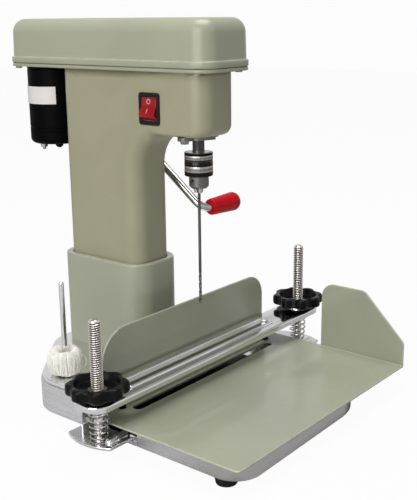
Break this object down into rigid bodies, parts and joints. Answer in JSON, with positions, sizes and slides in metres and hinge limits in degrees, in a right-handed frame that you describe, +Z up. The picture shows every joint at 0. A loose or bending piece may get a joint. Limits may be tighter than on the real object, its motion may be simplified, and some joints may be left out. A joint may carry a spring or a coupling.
{
  "type": "binding machine",
  "caption": "Bench paper drill for thread binding: belt-driven drilling head on a telescoping column with feed lever, over a sliding table with clamp bar, fence, guard and thread post.",
  "frame": {"origin": "middle of the box around the machine, on the bench under its rubber feet", "axes": "+X the operator's right along the table's slide, +Y from the operator to the column, +Z up"},
  "size_m": [0.3948, 0.4028, 0.3995],
  "materials": {
    "sage_paint": "semi-gloss",
    "satin_aluminium": "satin",
    "chrome": "polished",
    "steel": "brushed",
    "black_paint": "gloss",
    "black_plastic": "gloss",
    "matte_black": "matte",
    "rubber": "matte",
    "brass": "turned",
    "red_plastic": "gloss",
    "thread": "soft",
    "plate": "matte"
  },
  "bodies": {
    "base": {"base_casting": "satin_aluminium", "base_lid": "satin_aluminium", "rubber_feet": "rubber", "foot_screws": "steel", "rail_guides": "steel", "column_sleeve": "sage_paint", "guide_post": "steel", "feed_rack": "steel", "return_spring": "steel", "spring_rod": "steel", "thread_post": "steel"},
    "thread_ball": {"thread_core": "thread", "thread_winding": "thread"},
    "carriage": {"lower_rail": "chrome", "table_blocks": "steel", "table_plate": "sage_paint", "rear_fence": "sage_paint", "table_screws": "steel", "left_stud": "chrome", "right_stud": "chrome", "left_spring": "chrome", "right_spring": "chrome"},
    "clamp": {"clamp_bar": "chrome", "clamp_washers": "steel"},
    "left_star": {"left_knob": "black_plastic", "left_knob_insert": "brass"},
    "right_star": {"right_knob": "black_plastic", "right_knob_insert": "brass"},
    "head": {"head_casting": "sage_paint", "belt_tray": "sage_paint", "belt_cover": "sage_paint", "cover_screws": "steel", "motor_can": "black_paint", "motor_end_cap": "black_paint", "motor_bolt": "steel", "motor_plate": "plate", "switch_bezel": "matte_black", "spindle_bearings": "steel", "bearing_cap": "steel", "cap_screws": "chrome", "feed_bushes": "brass", "guide_liners": "brass", "drive_belt": "rubber", "cord_gland": "matte_black"},
    "spindle": {"spindle_shaft": "steel", "spindle_pulley": "satin_aluminium", "chuck_body": "steel", "drill_bit": "steel"},
    "chuck_ring": {"chuck_sleeve": "steel"},
    "jaw_one": {"chuck_jaw_1": "steel"},
    "jaw_two": {"chuck_jaw_2": "steel"},
    "jaw_three": {"chuck_jaw_3": "steel"},
    "rotor": {"motor_shaft": "steel", "motor_pulley": "satin_aluminium"},
    "lever": {"feed_pinion": "steel", "lever_hub": "chrome", "lever_rod": "chrome", "lever_grip": "red_plastic"},
    "rocker": {"switch_rocker": "red_plastic"}
  },
  "joints": [
    {"name": "table_slide", "type": "slide", "parent": "base", "child": "carriage", "axis": [1, 0, 0], "range_m": [-0.095, 0.08]},
    {"name": "clamp_slide", "type": "slide", "parent": "carriage", "child": "clamp", "axis": [0, 0, 1], "range_m": [-0.0215, 0.03], "deforming": ["left_spring", "right_spring"]},
    {"name": "left_knob_turn", "type": "hinge", "parent": "clamp", "child": "left_star", "pos_m": [-0.16735, -0.0446, 0.067], "axis": [0, 0, 1], "range_deg": [-3100, 4330]},
    {"name": "right_knob_turn", "type": "hinge", "parent": "clamp", "child": "right_star", "pos_m": [0.16735, -0.0446, 0.067], "axis": [0, 0, 1], "range_deg": [-3100, 4330]},
    {"name": "head_feed", "type": "slide", "parent": "base", "child": "head", "axis": [0, 0, 1], "range_m": [-0.084, 0], "stiffness_N_per_m": 400, "springref_m": 0.25, "deforming": ["return_spring"]},
    {"name": "feed_lever", "type": "hinge", "parent": "head", "child": "lever", "pos_m": [0.02395, 0.0554, 0.2546], "axis": [1, 0, 0], "range_deg": [0, 201]},
    {"name": "motor_spin", "type": "hinge", "parent": "head", "child": "rotor", "pos_m": [-0.01605, 0.1654, 0.31], "axis": [0, 0, 1], "continuous": true},
    {"name": "spindle_spin", "type": "hinge", "parent": "head", "child": "spindle", "pos_m": [-0.01605, -0.0446, 0.3], "axis": [0, 0, 1], "continuous": true},
    {"name": "chuck_turn", "type": "hinge", "parent": "spindle", "child": "chuck_ring", "pos_m": [-0.01605, -0.0446, 0.256], "axis": [0, 0, 1], "range_deg": [0, 1542]},
    {"name": "jaw_one_slide", "type": "slide", "parent": "spindle", "child": "jaw_one", "axis": [0.2079, 0, 0.9781], "range_m": [0, 0.006]},
    {"name": "jaw_two_slide", "type": "slide", "parent": "spindle", "child": "jaw_two", "axis": [-0.104, 0.1801, 0.9781], "range_m": [0, 0.006]},
    {"name": "jaw_three_slide", "type": "slide", "parent": "spindle", "child": "jaw_three", "axis": [-0.104, -0.1801, 0.9781], "range_m": [0, 0.006]},
    {"name": "switch_rock", "type": "hinge", "parent": "head", "child": "rocker", "pos_m": [-0.04225, -0.0059, 0.312], "axis": [0, -1, 0], "range_deg": [0, 21.5]},
    {"name": "thread_turn", "type": "hinge", "parent": "base", "child": "thread_ball", "pos_m": [-0.12605, 0.0459, 0.0593], "axis": [0, 0, 1], "continuous": true}
  ],
  "couplings": [
    {"joint": "left_knob_turn", "follows": "clamp_slide", "rad_per_m": 2513.3},
    {"joint": "right_knob_turn", "follows": "clamp_slide", "rad_per_m": 2513.3},
    {"joint": "feed_lever", "follows": "head_feed", "rad_per_m": -41.667},
    {"joint": "spindle_spin", "follows": "motor_spin", "ratio": 0.45454},
    {"joint": "jaw_one_slide", "follows": "chuck_turn", "m_per_rad": 0.00022282},
    {"joint": "jaw_two_slide", "follows": "chuck_turn", "m_per_rad": 0.00022282},
    {"joint": "jaw_three_slide", "follows": "chuck_turn", "m_per_rad": 0.00022282}
  ]
}
